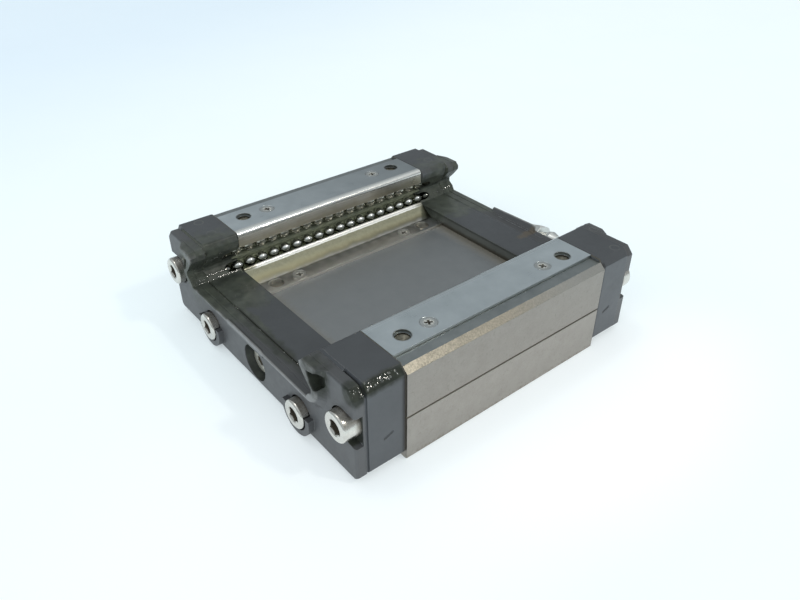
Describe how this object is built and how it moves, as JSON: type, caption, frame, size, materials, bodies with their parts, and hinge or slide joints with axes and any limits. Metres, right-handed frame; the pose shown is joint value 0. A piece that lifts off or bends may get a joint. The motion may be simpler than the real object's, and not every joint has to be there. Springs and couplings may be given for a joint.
{
  "type": "linear guide block",
  "caption": "Wide low recirculating-ball linear guide block with open rail channel, sheet ball retainers, black end caps, wiping end seals and cap screws; shown without its rail, legs up.",
  "frame": {"origin": "centre of the flat mounting face, which is the face the block lies on", "axes": "+X along the travel on the rail, +Y across the rail, +Z away from the mounting face, so that the legs and the open side of the rail channel point up"},
  "size_m": [0.1224, 0.1, 0.0305],
  "materials": {
    "ground_steel": "satin ground steel with a light film of oil",
    "sheet_steel": "satin stainless sheet",
    "floor_sheet": "satin stainless sheet, oil-stained on the wing, bright at the lip",
    "cap_plastic": "black moulded plastic with oily patches",
    "seal_rubber": "dark grey moulded rubber, oily along the lip",
    "guide_plastic": "dark moulded plastic",
    "bright_screws": "bright nickel plating",
    "nipple_plating": "bright plating, slightly dull",
    "small_screws": "bright plated, dark in the recess",
    "ball_steel": "polished bearing steel, wet with oil"
  },
  "bodies": {
    "block": {"carriage_body": "ground_steel", "end_cap_front": "cap_plastic", "end_cap_rear": "cap_plastic", "end_seal_front": "seal_rubber", "end_seal_rear": "seal_rubber", "leg_retainer_left": "sheet_steel", "leg_retainer_right": "sheet_steel", "leg_retainer_screws_left": "small_screws", "leg_retainer_screws_right": "small_screws", "floor_retainer_left": "floor_sheet", "floor_retainer_right": "floor_sheet", "floor_retainer_screws_left": "small_screws", "floor_retainer_screws_right": "small_screws", "mid_retainer_left": "guide_plastic", "mid_retainer_right": "guide_plastic", "end_screws_front": "bright_screws", "end_screws_rear": "bright_screws", "return_guides_front": "guide_plastic", "return_guides_rear": "guide_plastic", "grease_plug_front": "bright_screws", "grease_nipple": "nipple_plating"},
    "left_lower_load": {"balls_left_lower_load": "ball_steel"},
    "left_lower_return": {"balls_left_lower_return": "ball_steel"},
    "left_lower_turn_front": {"balls_left_lower_turn_front": "ball_steel"},
    "left_lower_turn_rear": {"balls_left_lower_turn_rear": "ball_steel"},
    "left_upper_load": {"balls_left_upper_load": "ball_steel"},
    "left_upper_return": {"balls_left_upper_return": "ball_steel"},
    "left_upper_turn_front": {"balls_left_upper_turn_front": "ball_steel"},
    "left_upper_turn_rear": {"balls_left_upper_turn_rear": "ball_steel"},
    "right_lower_load": {"balls_right_lower_load": "ball_steel"},
    "right_lower_return": {"balls_right_lower_return": "ball_steel"},
    "right_lower_turn_front": {"balls_right_lower_turn_front": "ball_steel"},
    "right_lower_turn_rear": {"balls_right_lower_turn_rear": "ball_steel"},
    "right_upper_load": {"balls_right_upper_load": "ball_steel"},
    "right_upper_return": {"balls_right_upper_return": "ball_steel"},
    "right_upper_turn_front": {"balls_right_upper_turn_front": "ball_steel"},
    "right_upper_turn_rear": {"balls_right_upper_turn_rear": "ball_steel"},
    "nipple_ball": {"grease_nipple_ball": "ball_steel"}
  },
  "joints": [
    {"name": "left_lower_load_roll", "type": "slide", "parent": "block", "child": "left_lower_load", "axis": [1, 0, 0], "range_m": [-0.00217, 0.00217]},
    {"name": "left_lower_return_roll", "type": "slide", "parent": "block", "child": "left_lower_return", "axis": [1, 0, 0], "range_m": [-0.0022, 0.0022]},
    {"name": "left_lower_turn_front_roll", "type": "hinge", "parent": "block", "child": "left_lower_turn_front", "pos_m": [-0.03906, 0.03687, 0.01529], "axis": [0, 0.6428, 0.766], "range_deg": [-30.5, 30.5]},
    {"name": "left_lower_turn_rear_roll", "type": "hinge", "parent": "block", "child": "left_lower_turn_rear", "pos_m": [0.03906, 0.03687, 0.01529], "axis": [0, 0.6428, 0.766], "range_deg": [-30.5, 30.5]},
    {"name": "left_upper_load_roll", "type": "slide", "parent": "block", "child": "left_upper_load", "axis": [1, 0, 0], "range_m": [-0.00217, 0.00217]},
    {"name": "left_upper_return_roll", "type": "slide", "parent": "block", "child": "left_upper_return", "axis": [1, 0, 0], "range_m": [-0.0022, 0.0022]},
    {"name": "left_upper_turn_front_roll", "type": "hinge", "parent": "block", "child": "left_upper_turn_front", "pos_m": [-0.03906, 0.0378, 0.02362], "axis": [0, 0.1392, 0.9903], "range_deg": [-30.5, 30.5]},
    {"name": "left_upper_turn_rear_roll", "type": "hinge", "parent": "block", "child": "left_upper_turn_rear", "pos_m": [0.03906, 0.0378, 0.02362], "axis": [0, 0.1392, 0.9903], "range_deg": [-30.5, 30.5]},
    {"name": "right_lower_load_roll", "type": "slide", "parent": "block", "child": "right_lower_load", "axis": [1, 0, 0], "range_m": [-0.00217, 0.00217]},
    {"name": "right_lower_return_roll", "type": "slide", "parent": "block", "child": "right_lower_return", "axis": [1, 0, 0], "range_m": [-0.0022, 0.0022]},
    {"name": "right_lower_turn_front_roll", "type": "hinge", "parent": "block", "child": "right_lower_turn_front", "pos_m": [-0.03906, -0.03687, 0.01529], "axis": [0, 0.6428, -0.766], "range_deg": [-30.5, 30.5]},
    {"name": "right_lower_turn_rear_roll", "type": "hinge", "parent": "block", "child": "right_lower_turn_rear", "pos_m": [0.03906, -0.03687, 0.01529], "axis": [0, 0.6428, -0.766], "range_deg": [-30.5, 30.5]},
    {"name": "right_upper_load_roll", "type": "slide", "parent": "block", "child": "right_upper_load", "axis": [1, 0, 0], "range_m": [-0.00217, 0.00217]},
    {"name": "right_upper_return_roll", "type": "slide", "parent": "block", "child": "right_upper_return", "axis": [1, 0, 0], "range_m": [-0.0022, 0.0022]},
    {"name": "right_upper_turn_front_roll", "type": "hinge", "parent": "block", "child": "right_upper_turn_front", "pos_m": [-0.03906, -0.0378, 0.02362], "axis": [0, 0.1392, -0.9903], "range_deg": [-30.5, 30.5]},
    {"name": "right_upper_turn_rear_roll", "type": "hinge", "parent": "block", "child": "right_upper_turn_rear", "pos_m": [0.03906, -0.0378, 0.02362], "axis": [0, 0.1392, -0.9903], "range_deg": [-30.5, 30.5]},
    {"name": "nipple_ball_slide", "type": "slide", "parent": "block", "child": "nipple_ball", "axis": [0, 0.9613, -0.2756], "range_m": [0, 0.0006], "stiffness_N_per_m": 100}
  ],
  "couplings": [
    {"joint": "left_lower_return_roll", "follows": "left_lower_load_roll", "ratio": -1},
    {"joint": "left_lower_turn_front_roll", "follows": "left_lower_load_roll", "rad_per_m": 241.29},
    {"joint": "left_lower_turn_rear_roll", "follows": "left_lower_load_roll", "rad_per_m": 241.29},
    {"joint": "left_upper_return_roll", "follows": "left_upper_load_roll", "ratio": -1},
    {"joint": "left_upper_turn_front_roll", "follows": "left_upper_load_roll", "rad_per_m": 241.29},
    {"joint": "left_upper_turn_rear_roll", "follows": "left_upper_load_roll", "rad_per_m": 241.29},
    {"joint": "right_lower_return_roll", "follows": "right_lower_load_roll", "ratio": -1},
    {"joint": "right_lower_turn_front_roll", "follows": "right_lower_load_roll", "rad_per_m": 241.29},
    {"joint": "right_lower_turn_rear_roll", "follows": "right_lower_load_roll", "rad_per_m": 241.29},
    {"joint": "right_upper_return_roll", "follows": "right_upper_load_roll", "ratio": -1},
    {"joint": "right_upper_turn_front_roll", "follows": "right_upper_load_roll", "rad_per_m": 241.29},
    {"joint": "right_upper_turn_rear_roll", "follows": "right_upper_load_roll", "rad_per_m": 241.29}
  ]
}
